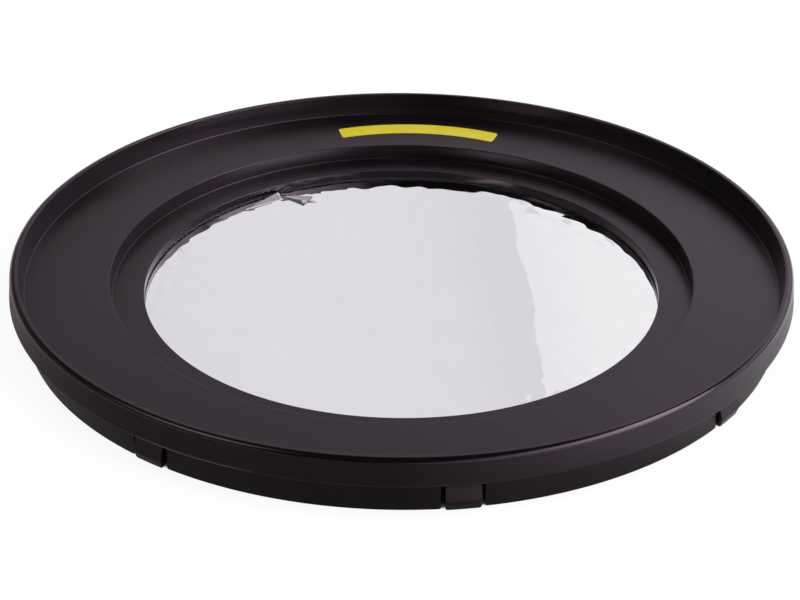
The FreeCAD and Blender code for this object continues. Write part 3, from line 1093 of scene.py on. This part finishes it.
class SolarFilterFilmSettings(bpy.types.PropertyGroup):
    colour: FloatVectorProperty(
        name="Film colour", description="Colour of the metallised film",
        default=(0.865, 0.862, 0.88), min=0.0, max=1.0, subtype="COLOR")
    ripple: FloatProperty(
        name="Edge ripple", description="Height of the ripples near the film's edge",
        default=0.00016, min=0.0, max=0.0005, subtype="DISTANCE", unit="LENGTH")
    slack: FloatProperty(
        name="Slack", description="Height of the film's slow swells",
        default=0.000012, min=0.0, max=0.0005, subtype="DISTANCE", unit="LENGTH")
    crease: FloatProperty(
        name="Crease", description="How strong the small crease at the film's far left is",
        default=1.0, min=0.0, max=1.5, subtype="FACTOR")


class SolarFilterTrimSettings(bpy.types.PropertyGroup):
    foam_colour: FloatVectorProperty(
        name="Foam colour", description="Colour of the foam ring above the film",
        default=(0.021, 0.0207, 0.0203), min=0.0, max=1.0, subtype="COLOR")
    sticker_colour: FloatVectorProperty(
        name="Sticker colour", description="Colour of the vinyl sticker",
        default=(0.61, 0.495, 0.010), min=0.0, max=1.0, subtype="COLOR")


class SolarFilterStageSettings(bpy.types.PropertyGroup):
    distance: FloatProperty(
        name="Camera distance", description="From the filter's foot to the camera",
        default=0.7063, min=0.3, max=5.0, subtype="DISTANCE", unit="LENGTH")
    elevation: FloatProperty(
        name="Camera elevation", description="Angle of the camera above the floor",
        default=math.radians(28.98), min=0.0, max=math.pi / 2, subtype="ANGLE", unit="ROTATION")
    roll: FloatProperty(
        name="Camera roll", description="Turn of the camera about its line of sight",
        default=math.radians(0.346), min=-0.2, max=0.2, subtype="ANGLE", unit="ROTATION")
    lens: FloatProperty(
        name="Lens", description="Focal length on a 36 mm wide sensor",
        default=102.06, min=10.0, max=400.0, subtype="DISTANCE_CAMERA")
    even_light: FloatProperty(
        name="Even light", description="Strength of the light from all round",
        default=0.6, min=0.0, max=2.0)
    shadow_share: FloatProperty(
        name="Shadow share", description="How much of the floor's white can be shaded",
        default=0.14, min=0.0, max=1.0, subtype="FACTOR")


class SOLARFILTER_OT_make_cell(bpy.types.Operator):
    """Make the moulded cell with its sprung tabs"""
    bl_idname = "solarfilter.make_cell"
    bl_label = "Make Cell"

    def execute(self, context):
        settings = context.scene.solar_filter_cell
        material = plastic_material("cell_plastic_skin", settings.colour, settings.roughness, True)
        object_from("cell_moulding", cell_bmesh(settings.tab_spring / MM), material,
                    "cell_plastic", "filter_cell")
        return {"FINISHED"}


class SOLARFILTER_OT_make_film(bpy.types.Operator):
    """Make the rippled disc of metallised film"""
    bl_idname = "solarfilter.make_film"
    bl_label = "Make Film"

    def execute(self, context):
        settings = context.scene.solar_filter_film
        film = object_from("film_disc", film_bmesh(settings), film_material(settings.colour),
                           "metallised_film", "solar_film")
        return {"FINISHED"}


class SOLARFILTER_OT_finish_gasket(bpy.types.Operator):
    """Give the foam ring above the film its finish"""
    bl_idname = "solarfilter.finish_gasket"
    bl_label = "Finish Foam Ring"

    def execute(self, context):
        dress_node("film_gasket", foam_material(context.scene.solar_filter_trim.foam_colour))
        return {"FINISHED"}


class SOLARFILTER_OT_finish_retaining_ring(bpy.types.Operator):
    """Give the ring behind the film its finish"""
    bl_idname = "solarfilter.finish_retaining_ring"
    bl_label = "Finish Retaining Ring"

    def execute(self, context):
        settings = context.scene.solar_filter_cell
        dress_node("retaining_ring",
                   plastic_material("retainer_plastic_skin", settings.colour, settings.roughness))
        return {"FINISHED"}


class SOLARFILTER_OT_make_sticker(bpy.types.Operator):
    """Make the curved vinyl sticker on the face"""
    bl_idname = "solarfilter.make_sticker"
    bl_label = "Make Sticker"

    def execute(self, context):
        colour = context.scene.solar_filter_trim.sticker_colour
        object_from("sticker_vinyl_strip", sticker_bmesh(), vinyl_material(colour),
                    "sticker_vinyl", "sticker_strip")
        return {"FINISHED"}


class SOLARFILTER_OT_make_stage(bpy.types.Operator):
    """Make the floor, the studio light and the camera"""
    bl_idname = "solarfilter.make_stage"
    bl_label = "Make Stage"

    def execute(self, context):
        settings = context.scene.solar_filter_stage
        context.scene.view_settings.view_transform = "Standard"
        build_world(settings)
        add_floor(settings)
        for lamp in LAMPS:
            add_lamp(*lamp)
        add_camera(settings)
        return {"FINISHED"}


class SOLARFILTER_PT_panel(bpy.types.Panel):
    """Sizes and colours of the solar filter, and the steps that make it"""
    bl_idname = "SOLARFILTER_PT_panel"
    bl_label = "Solar Filter"
    bl_space_type = "VIEW_3D"
    bl_region_type = "UI"
    bl_category = "Solar Filter"

    def draw(self, context):
        for name in SETTINGS:
            settings = getattr(context.scene, name)
            box = self.layout.box()
            for prop in settings.__annotations__:
                box.prop(settings, prop)
        for operator in OPERATORS:
            self.layout.operator(operator.bl_idname)


SETTINGS = {
    "solar_filter_cell": SolarFilterCellSettings,
    "solar_filter_film": SolarFilterFilmSettings,
    "solar_filter_trim": SolarFilterTrimSettings,
    "solar_filter_stage": SolarFilterStageSettings,
}
OPERATORS = (
    SOLARFILTER_OT_make_cell,
    SOLARFILTER_OT_make_film,
    SOLARFILTER_OT_finish_gasket,
    SOLARFILTER_OT_finish_retaining_ring,
    SOLARFILTER_OT_make_sticker,
    SOLARFILTER_OT_make_stage,
)


def register():
    for cls in (*SETTINGS.values(), *OPERATORS, SOLARFILTER_PT_panel):
        bpy.utils.register_class(cls)
    for name, cls in SETTINGS.items():
        setattr(bpy.types.Scene, name, PointerProperty(type=cls))


def unregister():
    for name in SETTINGS:
        delattr(bpy.types.Scene, name)
    for cls in reversed((*SETTINGS.values(), *OPERATORS, SOLARFILTER_PT_panel)):
        bpy.utils.unregister_class(cls)


def main():
    register()
    bpy.ops.solarfilter.make_cell()
    bpy.ops.solarfilter.make_film()
    bpy.ops.solarfilter.finish_gasket()
    bpy.ops.solarfilter.finish_retaining_ring()
    bpy.ops.solarfilter.make_sticker()
    bpy.ops.solarfilter.make_stage()


if __name__ == "__main__":
    main()
